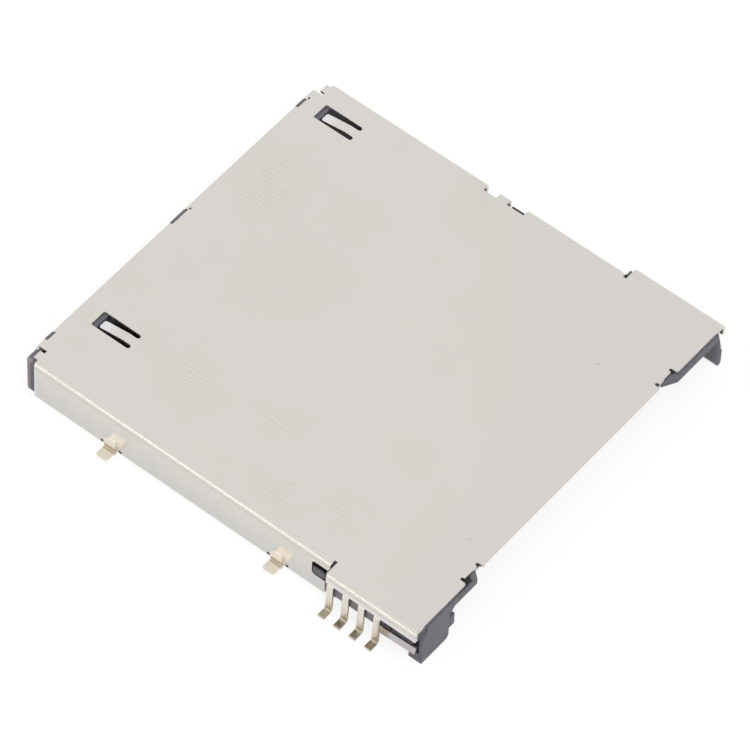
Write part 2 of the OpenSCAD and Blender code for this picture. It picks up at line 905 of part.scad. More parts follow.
// Contact number n: tail on the board, base in the block, arm rising to its dome
module contact(n) {
  heel = 0.1;
  heel_run = 0.35;
  root = 0.05;
  crest_run = 0.55;
  crest_drop = 0.05;
  nose_run = 0.8;
  nose_drop = 0.42;
  taper = 0.4;
  half = contact_w / 2;
  tip_share = 0.32;
  tip_half = contact_w * tip_share;
  x = contact_x[n - 1];
  low_z = contact_t / 2;
  tail_y = back_y + tail_reach;
  dome_y = back_y - dome_back;
  dome_mid = dome_z - contact_t / 2;
  path = [
    [tail_y, low_z], [back_in - heel, low_z],
    [back_in - heel - heel_run, base_z], [block_in - root, base_z],
    [dome_y + crest_run, dome_mid - crest_drop], [dome_y, dome_mid],
    [dome_y - nose_run, dome_mid - nose_drop]
  ];
  color("goldenrod")
    intersection() {
      across(x, contact_w)
        strip(smooth(path, strip_bend_r), contact_t);
      upright(-cut, dome_z + cut)
        polygon([
          [x - half, tail_y + cut], [x + half, tail_y + cut],
          [x + half, block_in - taper], [x + tip_half, dome_y + taper], [x + tip_half, dome_y - cut],
          [x - tip_half, dome_y - cut], [x - tip_half, dome_y + taper], [x - half, block_in - taper]
        ]);
    }
}

// Places of the four spring arms across the pocket, and where the leaves meet the card's edge
arm_inset = 0.17;
arm_step = 0.35;
arm_lift = 0.1;
leaf_press = 0.25;
arm_x = [for (i = [0:3]) -pocket_out + arm_inset + i * arm_step];
arm_low = pocket_z + arm_lift;
press_x = slot_left + leaf_press;

// Gull-wing pin number i with its tab through the bar, carrying a spring arm along a plan path
module switch_pin(i, path) {
  lean = 0.12;
  y = pin_y - i * pin_pitch;
  foot_z = pin_t / 2;
  pin = [[-half_mouth - foot_reach, foot_z], [-pin_x - lean, foot_z], [-pin_x, pin_z], [arm_x[i], pin_z]];
  color("tan") {
    along(y - pin_w / 2, pin_w)
      strip(smooth(pin, strip_bend_r), pin_t);
    upright(arm_low, pin_z)
      strip(path, pin_t);
  }
}

// Spring arm of pin i that runs back to the card's edge at y and springs away from it again
function leaf_path(i, y) =
  let (slope = 1.7, tail = 1.05, lift = 0.3)
    smooth([
      [arm_x[i], pin_y - i * pin_pitch - pin_w / 2], [arm_x[i], y - slope],
      [press_x, y], [arm_x[i] + lift, y + tail]
    ], strip_bend_r);

// Straight arm of pin i that the leaf next to it meets
function contact_path(i, y) = [[arm_x[i], pin_y - i * pin_pitch - pin_w / 2], [arm_x[i], y]];

// Where the card's two edges work the protect switch and the detect switch
protect_front = 1.3;
detect_back = 2.35;
contact_past = 0.5;
protect_y = stop_y - protect_front;
detect_y = jog_y + detect_back;

module protect_contact() {
  switch_pin(0, contact_path(0, protect_y + contact_past));
}

module protect_leaf() {
  switch_pin(1, leaf_path(1, protect_y));
}

module detect_contact() {
  switch_pin(2, contact_path(2, detect_y + contact_past));
}

// The detect leaf has a second arm that runs forward past the post's outer face
module detect_leaf() {
  y = pin_y - 3 * pin_pitch;
  lean = 8.4;
  tip_gap = 0.35;
  path = [[-pin_x, y], [-pin_x, y - pin_w], [-post_out - leaf_gap, mouth_y + tip_gap]];
  switch_pin(3, leaf_path(3, detect_y));
  color("tan")
    translate([0, y, leaf_low])
      rotate([lean, 0, 0])
        translate([0, -y, 0])
          upright(0, leaf_high - leaf_low)
            strip(path, pin_t);
}

// Eject slider, cam pin and spring

// Heart-shaped loop in the slider's top: in along one lane, held in the notch, back along the other
module cam_groove() {
  end_y = tip_y - travel;
  notch = [0.05, 0.75];
  step_y = 0.1;
  lane_y = 1.6;
  loop = [
    [lane_mid, tip_y], [lane_mid + swing, end_y], [lane_mid + notch[0], end_y + notch[1]],
    [lane_mid - swing, end_y + step_y], [lane_mid - swing, tip_y - lane_y]
  ];
  for (i = [0:4]) {
    strip([loop[i], loop[(i + 1) % 5]], groove_w);
    translate(loop[i])
      circle(d = groove_w, $fn = round_fn);
  }
}

module eject_slider() {
  foot_l = 0.9;
  foot_setback = 0.1;
  foot_end = slider_end - foot_setback;
  color("whitesmoke")
    difference() {
      union() {
        block([lane_out, slider_y, slider_low], [lane_in, slider_end, slider_top]);
        block([lane_in - join, foot_end - foot_l, rail_z + slide_gap], [slider_foot, foot_end, slider_top]);
      }
      translate([lane_mid, slider_end + cut, bore_z])
        rotate([90, 0, 0])
          cylinder(h = slider_end + cut - bore_y, r = bore_r, $fn = round_fn);
      upright(groove_z, slider_top + cut)
        cam_groove();
    }
}

// Bent wire that turns in the back wall and rides in the slider's loop
module cam_pin() {
  r = wire_d / 2;
  tip_z = groove_z + slide_gap;
  color("lightgray") {
    translate([lane_mid, pivot_y, pivot_z])
      cylinder(h = arm_z - pivot_z, r = r, $fn = round_fn);
    translate([lane_mid, pivot_y, arm_z])
      rotate([90, 0, 0])
        cylinder(h = arm_l, r = r, $fn = round_fn);
    translate([lane_mid, tip_y, tip_z])
      cylinder(h = arm_z - tip_z, r = r, $fn = round_fn);
    for (y = [pivot_y, tip_y])
      translate([lane_mid, y, arm_z])
        sphere(r, $fn = round_fn);
  }
}

// Coil between the slider's bore and the back wall, with closed end turns
module eject_spring() {
  sides = 6;
  steps = 14;
  wire_r = spring_wire / 2;
  coil_r = spring_d / 2 - wire_r;
  start = bore_y + fit + wire_r;
  end = wall_in - fit - wire_r;
  open_turns = spring_turns - 2;
  open_pitch = (end - start - 2 * spring_wire) / open_turns;
  count = spring_turns * steps;
  points = [
    for (k = [0:count])
      let (
        turn = k / steps,
        closed = min(turn, 1) + max(turn - open_turns - 1, 0),
        y = start + spring_wire * closed + open_pitch * min(max(turn - 1, 0), open_turns),
        a = 360 * turn
      )
        for (j = [0:sides - 1])
          let (b = 360 * j / sides, q = coil_r + wire_r * cos(b))
            [lane_mid + q * cos(a), y + wire_r * sin(b), bore_z + q * sin(a)]
  ];
  walls = [
    for (k = [0:count - 1])
      for (j = [0:sides - 1])
        let (n = (j + 1) % sides)
          [(k + 1) * sides + j, (k + 1) * sides + n, k * sides + n, k * sides + j]
  ];
  caps = [[for (j = [0:sides - 1]) j], [for (j = [sides - 1:-1:0]) count * sides + j]];
  color("silver")
    polyhedron(points, concat(walls, caps));
}

housing();
top_shell();
contact(1);  // contact_1
contact(2);  // contact_2
contact(3);  // contact_3
contact(4);  // contact_4
contact(5);  // contact_5
contact(6);  // contact_6
contact(7);  // contact_7
contact(8);  // contact_8
contact(9);  // contact_9
protect_contact();
protect_leaf();
detect_contact();
detect_leaf();
eject_slider();
cam_pin();
eject_spring();
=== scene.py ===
"""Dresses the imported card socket: finishes, softened edges, a drawn coil, studio and camera."""

import json
import math

import bpy
from mathutils import Matrix, Vector


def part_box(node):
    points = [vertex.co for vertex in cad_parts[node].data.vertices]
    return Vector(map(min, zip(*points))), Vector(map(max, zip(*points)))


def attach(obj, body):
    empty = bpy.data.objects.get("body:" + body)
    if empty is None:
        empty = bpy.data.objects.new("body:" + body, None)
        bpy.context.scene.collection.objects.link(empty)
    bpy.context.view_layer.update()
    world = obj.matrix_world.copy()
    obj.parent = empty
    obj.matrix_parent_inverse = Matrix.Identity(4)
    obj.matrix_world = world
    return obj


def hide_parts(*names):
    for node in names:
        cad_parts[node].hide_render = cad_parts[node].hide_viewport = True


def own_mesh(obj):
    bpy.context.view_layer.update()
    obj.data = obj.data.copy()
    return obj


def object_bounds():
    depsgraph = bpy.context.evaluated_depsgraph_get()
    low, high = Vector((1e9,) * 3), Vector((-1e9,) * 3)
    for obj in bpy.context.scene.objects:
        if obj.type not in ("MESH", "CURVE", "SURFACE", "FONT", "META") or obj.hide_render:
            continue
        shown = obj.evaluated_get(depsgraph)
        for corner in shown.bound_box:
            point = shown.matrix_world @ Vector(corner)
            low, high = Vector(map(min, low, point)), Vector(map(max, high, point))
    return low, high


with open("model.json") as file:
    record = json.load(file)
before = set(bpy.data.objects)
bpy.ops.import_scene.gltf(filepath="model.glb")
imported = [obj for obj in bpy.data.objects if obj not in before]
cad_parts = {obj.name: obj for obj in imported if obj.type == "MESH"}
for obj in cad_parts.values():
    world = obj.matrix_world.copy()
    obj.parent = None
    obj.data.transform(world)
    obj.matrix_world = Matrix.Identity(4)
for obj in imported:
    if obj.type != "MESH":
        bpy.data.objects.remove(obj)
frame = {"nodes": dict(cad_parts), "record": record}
cad_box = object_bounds()

MM = 0.001
UP = Vector((0, 0, 1))

# Camera of the photograph, fitted to the socket's corners
IMAGE = 750
AZIMUTH = math.radians(-53.113)
ELEVATION = math.radians(52.859)
ROLL = math.radians(2.673)
FOCAL = 6682
PIXELS_PER_MM = 17.514
TARGET = Vector((0, 0, 0.1)) * MM
TARGET_PIXEL = (370.496, 376.717)
SENSOR = 36
CLIP_START = 0.01

# Light: share of full light from the sky and from each lamp on a face that is turned to it
SKY_FILL = 0.55
LAMP_DISTANCE = 0.5
LAMPS = {
    "key": {"towards": (-0.35, -0.55, 0.85), "share": 0.3, "size": (0.5, 0.5)},
    "rim": {"towards": (-0.89, 0.36, 0.28), "share": 0.036, "size": (0.1, 0.3)},
}

# Floor: its grey, the glow that makes it show as white, and shaded places in millimetres, without glow
FLOOR_SIZE = 4
FLOOR_DROP = 0.01 * MM
FLOOR_GREY = 0.25
FLOOR_GLOW = 0.84
SHADE_GREY = 0.11
SHADES = [
    {"soft": 0.25, "x": (-12.95, 12.95), "y": (-12.87, 12.87)},
    {"soft": 0.03, "x": (-8.0, -7.0), "y": (-13.2, -12)},
    {"soft": 0.03, "x": (10.9, 11.6), "y": (-13.1, -12)},
]

# Finishes, as linear colours
WHITE = (1, 1, 1)
NICKEL = (0.690, 0.664, 0.632)
NICKEL_WARM = (0.677, 0.649, 0.613)
NICKEL_STAIN = (0.57, 0.53, 0.47)
NICKEL_FAR = (0.665, 0.643, 0.612)
NICKEL_SIDE = (0.695, 0.667, 0.625)
# Painted shade: the side wall's colour near its bottom, for the shaded floor that it reflects
NICKEL_LOW_SHADED = (0.625, 0.615, 0.592)
# Painted highlight: lighter, bluer band at the side wall's rear end
NICKEL_END_HIGHLIGHT = (0.68, 0.70, 0.70)
# Painted shading on the mouth lips: darker at the top, lighter and bluer low down
NICKEL_LIP_SHADED = (0.64, 0.62, 0.57)
NICKEL_LIP_LOW_LIT = (0.755, 0.735, 0.715)
# Painted highlight: near white line along the mouth's middle edge
NICKEL_EDGE_HIGHLIGHT = (0.97, 0.96, 0.92)
# Painted highlight: lighter tips of the rear spring tongues
NICKEL_TIP_HIGHLIGHT = (0.80, 0.79, 0.80)
# Painted reflection: dark line just under the fold's highlight
NICKEL_DARK_REFLECTION = (0.58, 0.55, 0.51)
# Painted highlight: warm cream tint on the left folds, under the rim lamp's line
NICKEL_FOLD_HIGHLIGHT = (0.70, 0.665, 0.60)
# Painted shade seen through the relief slits
NICKEL_SLIT_SHADE = (0.10, 0.10, 0.10)
SPECK = (0.30, 0.28, 0.25)
# Painted reflection: cream of the tab's foot, mirrored in the side wall
TAB_REFLECTION_CREAM = (0.86, 0.80, 0.70)
# Tinned tab colours, with painted shade on the lobe and painted light on the foot
SOLDER_LOBE_SHADED = (0.72, 0.66, 0.565)
SOLDER_FOOT_LIT = (0.97, 0.925, 0.82)
# Painted shade in the crease at the base of each tab's lobe
SOLDER_CREASE_SHADE = (0.50, 0.42, 0.31)
SLATE = (0.172, 0.169, 0.194)
SLATE_PALE = (0.208, 0.204, 0.230)
# Painted light: slate of the bar behind the pins, lighter than the lip's shadow would leave it
SLATE_BAR_LIT = (0.35, 0.33, 0.37)
SLATE_RUST = (0.42, 0.34, 0.335)
SLATE_DEEP = (0.022, 0.022, 0.024)
GOLD = (0.80, 0.56, 0.24)
GOLD_PALE = (0.86, 0.68, 0.40)
BEIGE = (0.765, 0.70, 0.60)
BEIGE_PALE = (0.75, 0.72, 0.68)
BEIGE_LOW = (0.66, 0.59, 0.49)
BRONZE = (0.42, 0.33, 0.26)
BRONZE_CUT = (0.40, 0.31, 0.22)
# Painted shade in the bend of each pin
CREASE_SHADE = (0.46, 0.40, 0.33)
OLIVE = (0.30, 0.24, 0.13)
LEAF = (0.52, 0.49, 0.50)
SILVER = (0.72, 0.71, 0.70)
NATURAL = (0.74, 0.72, 0.66)
NATURAL_PALE = (0.79, 0.775, 0.73)
STEEL = (0.60, 0.60, 0.60)
STEEL_DARK = (0.45, 0.45, 0.45)

# Strength of tints and gloss, from 0 to 1
STAIN_TINT = 0.42
STAIN_ROUGH = 0.08
SPECK_TINT = 0.45
ROOT_TINT = 0.8
FOLD_POLISH = 0.13
PLASTIC_SPECULAR = 0.45

# Clouds: lumps in a millimetre, octaves, the span of the noise that counts and what that span turns into
CLOUDS = {
    "nickel": {"scale": 0.16, "detail": 2, "span": (0.3, 0.7), "to": (0, 1)},
    "nickel_rough": {"scale": 0.9, "detail": 5, "span": (0.3, 0.7), "to": (0.33, 0.41)},
    "patches": {"scale": 0.8, "detail": 5, "span": (0.34, 0.6), "to": (0, 1)},
    "wear": {"scale": 0.2, "detail": 1, "span": (0.2, 0.5), "to": (0, 1)},
    "plastic": {"scale": 0.5, "detail": 4, "span": (0.32, 0.68), "to": (0, 1)},
    "speckle": {"scale": 9.0, "detail": 3, "span": (0.35, 0.65), "to": (0.9, 1.1)},
    "frame_rough": {"scale": 3.0, "detail": 3, "span": (0.3, 0.7), "to": (0.45, 0.56)},
    "slider_rough": {"scale": 3.0, "detail": 3, "span": (0.3, 0.7), "to": (0.37, 0.48)},
    "gold": {"scale": 1.4, "detail": 3, "span": (0.35, 0.65), "to": (0, 1)},
    "gold_rough": {"scale": 4.0, "detail": 3, "span": (0.3, 0.7), "to": (0.24, 0.34)},
    "shank": {"scale": 1.2, "detail": 3, "span": (0.35, 0.65), "to": (0, 1)},
    "shank_rough": {"scale": 3.5, "detail": 3, "span": (0.3, 0.7), "to": (0.3, 0.42)},
    "mottle": {"scale": 2.6, "detail": 4, "span": (0.38, 0.62), "to": (0.35, 1)},
    "steel": {"scale": 2.0, "detail": 3, "span": (0.35, 0.65), "to": (0, 1)},
    "steel_rough": {"scale": 5.0, "detail": 3, "span": (0.3, 0.7), "to": (0.2, 0.32)},
}

# Relief: lumps in a millimetre, octaves, stretch along x, y and z, and depth in millimetres
RELIEFS = {
    "nickel_grain": {"scale": 5.0, "detail": 2, "stretch": (1, 1, 1), "depth": 0.0006},
    "nickel_dents": {"scale": 1.6, "detail": 2, "stretch": (1, 2.2, 1), "depth": 0.0035},
    "fold_dents": {"scale": 3.2, "detail": 3, "stretch": (1, 1, 1), "depth": 0.03},
    "moulded_skin": {"scale": 14.0, "detail": 2, "stretch": (1, 1, 1), "depth": 0.004},
    "contact_lines": {"scale": 9.0, "detail": 3, "stretch": (6, 0.4, 6), "depth": 0.0008},
    "shank_lines": {"scale": 8.0, "detail": 3, "stretch": (1, 6, 0.4), "depth": 0.001},
    "wire_grain": {"scale": 16.0, "detail": 3, "stretch": (1, 1, 1), "depth": 0.001},
}
NOISE_ROUGHNESS = 0.55

# Driving places, in millimetres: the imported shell's top and ends, the outer faces of its walls and
# mouth lips, and the step between walls and lips
SHELL_LOW, SHELL_HIGH = [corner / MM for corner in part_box("top_shell")]
TOP = SHELL_HIGH.z
FRONT = SHELL_LOW.y
BACK = SHELL_HIGH.y
WALL_SIDE = 13.45
LIP_SIDE = 14.1
WALL_START = -7.9
LIP_END = -8.15

# Zones of the shell: ranges of x, y, z or side, which is x without its sign, and how softly they end
PLATE_RISE = (TOP - 0.2, TOP - 0.1)
WALL = {"soft": 0.06, "side": (WALL_SIDE - 0.01, WALL_SIDE + 0.02), "y": (WALL_START, None)}
# Heights over which the painted shade darkens the side wall towards its bottom
WALL_SHADE_FALL = (TOP - 0.5, 0.3)
# Rear end of the side wall, where the painted highlight goes
WALL_END_HIGHLIGHT = {"soft": 0.08, "y": (BACK - 0.9, None), "z": (None, TOP - 0.4)}
# Band under the fold where the dark reflection line is painted
WALL_DARK_REFLECTION = {
    "soft": 0.03, "side": (WALL_SIDE - 0.02, WALL_SIDE + 0.02),
    "y": (WALL_START, None), "z": (TOP - 0.4, TOP - 0.34),
}
LIP = {"soft": 0.06, "side": (LIP_SIDE - 0.01, None), "y": (None, LIP_END + 0.01)}
# Heights over which the lip's painted shading turns lighter
LIP_LIGHT_FALL = (TOP - 0.2, TOP - 0.6)
# Mouth's middle edge, where the painted highlight goes
MOUTH_EDGE_HIGHLIGHT = {"soft": 0.03, "side": (None, 8.0), "y": (None, FRONT + 0.015)}
FOLD_Z = (TOP - 0.34, None)
FOLDS = [
    {"soft": 0.05, "side": (WALL_SIDE - 0.25, WALL_SIDE + 0.05), "y": (WALL_START, None), "z": FOLD_Z},
    {"soft": 0.05, "side": (LIP_SIDE - 0.24, None), "y": (None, LIP_END), "z": FOLD_Z},
]
# Left half, the only side where the folds get the painted highlight tint
FOLD_HIGHLIGHT_SIDE = {"soft": 0.1, "x": (None, 0)}
# Rear spring tongues, painted lighter towards their tips
TONGUE_TIPS_LIT = {"soft": 0.04, "side": (7.5, 12.5), "y": (10.8, 12.8), "z": (None, TOP - 0.1)}
TONGUE_RISE = (11.4, 12.7)

# Relief slits in the mouth edge, from the middle, with painted shade seen through them
SLITS = (8.17, 9.49)
SLIT_HALF = 0.14
SLIT = {"soft": 0.02, "y": (FRONT + 0.2, FRONT + 0.55), "z": (None, TOP - 0.04)}

# Solder tabs along the side walls, and the painted reflection of each tab: a cream sheen that leans up the
# wall from each; its places start outside and are full inside
TABS = (7.98, -4.22)
TAB = {"soft": 0.06, "side": (WALL_SIDE + 0.08, WALL_SIDE + 0.95), "y": (-5, 9), "z": (None, 1.1)}
# Foot of each tab, painted lighter than its lobe
TAB_FOOT_LIT = {"soft": 0.1, "side": (WALL_SIDE + 0.3, None), "z": (None, 0.25)}
# Crease at the lobe's base, where the painted shade goes
TAB_CREASE_SHADE = {"soft": 0.03, "side": (None, WALL_SIDE + 0.24), "z": (0.23, 0.5)}
SHEEN_SHIFT = 0.12
SHEEN_LEAN = 0.42
SHEEN_ACROSS = (0.53, 0.39)
SHEEN_UP = (2.1, 1.4)

# Faint marks on the shell's top, in millimetres: place, half sizes and strength
PRINTS = [
    {"at": (5.4, 11.6), "half": (4.4, 2.8), "strength": 0.8},
    {"at": (-8.1, 10.6), "half": (2.4, 2.8), "strength": 0.55},
    {"at": (-8.8, 6.0), "half": (3.0, 4.0), "strength": 0.75},
    {"at": (-7.2, 0.4), "half": (2.8, 3.6), "strength": 0.65},
    {"at": (-11.2, -2.6), "half": (2.0, 3.2), "strength": 0.9},
    {"at": (-10.2, -6.2), "half": (2.4, 3.0), "strength": 0.7},
    {"at": (-4.8, -7.2), "half": (2.6, 2.0), "strength": 0.45},
]
SMUDGES = [
    {"at": (6.5, 6.2), "half": (2.4, 2.8), "strength": 0.3},
    {"at": (-10.9, 12.6), "half": (1.0, 1.2), "strength": 0.45},
    {"at": (-10.1, -10.6), "half": (0.8, 0.5), "strength": 0.6},
]
SPECKS = [
    {"at": (7.16, -10.69), "half": (0.16, 0.10), "strength": 1.0},
    {"at": (-7.09, -12.74), "half": (0.14, 0.10), "strength": 0.7},
]
SPOT_CORE = 0.25
ARC = {"at": (-13.8, 23.0), "radius": 34.0, "half": 1.3, "fade": 2, "strength": 0.3}
RIDGES = {"Scale": 1.05, "Distortion": 11.0, "Detail": 2.0, "Detail Scale": 0.42}
RIDGE_SPAN = (0.3, 0.8)

# Zones of the frame: the bar along the pins, with painted light, the rear left corner, and the side
# window, mouth notch and finger notch that lie in painted deep shade
PIN_BAR_LIT = {"soft": 0.1, "x": (None, -WALL_SIDE - 0.3), "y": (-12.2, -8)}
RUST_CORNER = {"soft": 0.08, "x": (None, -WALL_SIDE + 0.3), "y": (BACK - 0.45, None)}
DEEP_PLACES = [
    {"soft": 0.05, "x": (-WALL_SIDE - 0.05, -12), "y": (WALL_START, -6.6), "z": (1.97, 2.6)},
    {"soft": 0.05, "x": (-10.2, -9.05), "y": (FRONT, FRONT + 0.6), "z": (TOP - 0.8, None)},
    {"soft": 0.05, "x": (WALL_SIDE - 0.45, None), "y": (-0.9, 0.5), "z": (TOP - 1.0, None)},
]

# Zones of the contacts and the switch strips
TAIL_RISE = (13.8, 14.9)
SHANK_FALL = (1.5, 0.4)
SHANKS = {"soft": 0.1, "y": (-12, None)}
CUT_FACING = (0.6, 0.9)
LEAF_ARM = {"soft": 0.25, "y": (None, -12.15)}
LEAF_ROOT = {"soft": 0.35, "y": (-12.45, -12.05), "z": (None, 1.9)}
# Bend of each pin, where the painted shade goes
PIN_CREASE_SHADE = {"soft": 0.06, "x": (-14.2, -14.08), "z": (None, 0.4)}
PIN_FOOT = {"soft": 0.12, "x": (-14.65, -14.3), "z": (None, 0.3)}
FOOT_ROW = (-8.2, -9.4)
FOOT_MOTTLE = (0.25, 0.75)

# Edge rounding of the nodes, in millimetres
EDGES = {
    "shell_metal": 0.03,
    "frame_plastic": 0.05,
    "slider_plastic": 0.05,
    "contact_metal": 0.015,
    "switch_metal": 0.02,
}
EDGE_SEGMENTS = 2
WELD_GAP = 0.0002
SHARP = math.radians(32)

# Coil of the eject spring, with closed turns at both ends
WIRE = 0.16 * MM
TURNS = 15
END_TURNS = 1
TURN_STEPS = 36
WIRE_SIDES = 12


class Finish:
    """A procedural material under construction. Places are in millimetres."""

    def __init__(self, name):
        self.material = bpy.data.materials.new(name)
        self.material.use_nodes = True
        self.tree = self.material.node_tree
        self.shader = self.tree.nodes["Principled BSDF"]
        self.coordinates = self.add("ShaderNodeTexCoord").outputs
        self.place = self.vector("SCALE", {0: self.coordinates["Object"], "Scale": 1 / MM})
        self.x, self.y, self.z = self.add("ShaderNodeSeparateXYZ", {0: self.place}).outputs
        self.side = self.math("ABSOLUTE", self.x)

    def add(self, kind, inputs=None, **settings):
        """A new node, with its settings and with values or links on its inputs."""
        node = self.tree.nodes.new(kind)
        for key, value in settings.items():
            setattr(node, key, value)
        for key, value in (inputs or {}).items():
            self.put(node.inputs[key], value)
        return node

    def put(self, socket, value):
        """A link or a value on a socket. A colour without alpha is opaque."""
        if isinstance(value, bpy.types.NodeSocket):
            self.tree.links.new(value, socket)
        elif socket.type == "RGBA":
            socket.default_value = (*value, 1)
        else:
            socket.default_value = value

    def set(self, **inputs):
        """Values or links for the shader: Base_Color stands for Base Color."""
        for key, value in inputs.items():
            self.put(self.shader.inputs[key.replace("_", " ")], value)

    def math(self, operation, a, b=0.0):
        """Result of one operation on two numbers."""
        return self.add("ShaderNodeMath", {0: a, 1: b}, operation=operation).outputs[0]

    def vector(self, operation, inputs, result="Vector"):
        """Result of one operation on vectors."""
        return self.add("ShaderNodeVectorMath", inputs, operation=operation).outputs[result]

    def times(self, *values):
        """Product of several values."""
        product = values[0]
        for value in values[1:]:
            product = self.math("MULTIPLY", product, value)
        return product

    def most(self, values):
        """The highest of several values."""
        top = values[0]
        for value in values[1:]:
            top = self.math("MAXIMUM", top, value)
        return top

    def between(self, value, low, high, to_low=0.0, to_high=1.0):
        """Smooth step of a value from low to high."""
        inputs = {"Value": value, "From Min": low, "From Max": high, "To Min": to_low, "To Max": to_high}
        return self.add("ShaderNodeMapRange", inputs, interpolation_type="SMOOTHSTEP").outputs[0]

    def noise(self, scale, detail, stretch=(1, 1, 1)):
        """Cloudy values around one half, with so many lumps in a millimetre."""
        place = self.vector("MULTIPLY", {0: self.place, 1: stretch})
        values = {"Vector": place, "Scale": scale, "Detail": detail, "Roughness": NOISE_ROUGHNESS}
        return self.add("ShaderNodeTexNoise", values).outputs["Fac"]

    def clouds(self, name):
        """The clouds of that name."""
        facts = CLOUDS[name]
        return self.between(self.noise(facts["scale"], facts["detail"]), *facts["span"], *facts["to"])

    def relief(self, name, normal=None, share=None):
        """The relief of that name, on top of another one in normal, and scaled by share."""
        facts = RELIEFS[name]
        height = self.noise(facts["scale"], facts["detail"], facts["stretch"])
        if share is not None:
            height = self.times(height, share)
        inputs = {"Height": height, "Distance": facts["depth"] * MM, "Strength": 1.0}
        if normal is not None:
            inputs["Normal"] = normal
        return self.add("ShaderNodeBump", inputs).outputs[0]

    def inside(self, soft, **ranges):
        """1 where x, y, z and side (x without its sign) lie in their ranges, soft outside them."""
        shares = []
        for name, (low, high) in ranges.items():
            value = getattr(self, name)
            if low is not None:
                shares.append(self.between(value, low - soft, low))
            if high is not None:
                shares.append(self.between(value, high + soft, high))
        return self.times(*shares)

    def away(self, at, half=(1, 1)):
        """Distance from a place on the plan, in half sizes."""
        offset = self.vector("SUBTRACT", {0: self.place, 1: (*at, 0)})
        flat = self.vector("MULTIPLY", {0: offset, 1: (1 / half[0], 1 / half[1], 0)})
        return self.vector("LENGTH", {0: flat}, "Value")

    def spots(self, marks):
        """Soft oval marks on the plan, each with its strength at its middle."""
        return self.most([
            self.between(self.away(mark["at"], mark["half"]), SPOT_CORE, 1.0, mark["strength"], 0.0)
            for mark in marks
        ])

    def blend(self, share, a, b):
        """Colour a turning into colour b."""
        node = self.add("ShaderNodeMix", data_type="RGBA")
        self.put(node.inputs[0], share)
        self.put(node.inputs[6], a)
        self.put(node.inputs[7], b)
        return node.outputs[2]


def plate_marks(f, radius):
    """Finger prints, smudges and an arc of wear on the shell's top, from 0 to 1."""
    inputs = {"Vector": f.place, **RIDGES}
    waves = f.add("ShaderNodeTexWave", inputs, wave_type="BANDS", bands_direction="X")
    ridges = f.between(waves.outputs["Fac"], *RIDGE_SPAN)
    patches = f.clouds("patches")
    prints = f.times(f.spots(PRINTS), patches, ridges)
    smudges = f.times(f.spots(SMUDGES), patches)
    off = f.math("ABSOLUTE", f.math("SUBTRACT", radius, ARC["radius"]))
    arc = f.times(f.between(off, 0.0, ARC["half"], ARC["strength"], 0.0), f.clouds("wear"))
    return f.most([prints, smudges, arc])


def painted_tab_reflection(f):
    """Painted reflection of each solder tab: a cream sheen that leans up the side wall from it, from 0 to
    1.
    """
    leaning = f.math("ADD", f.y, f.times(f.z, SHEEN_LEAN))
    shares = []
    for tab in TABS:
        off = f.math("ABSOLUTE", f.math("SUBTRACT", leaning, tab + SHEEN_SHIFT))
        shares.append(f.between(off, *SHEEN_ACROSS))
    return f.times(f.most(shares), f.between(f.z, *SHEEN_UP))


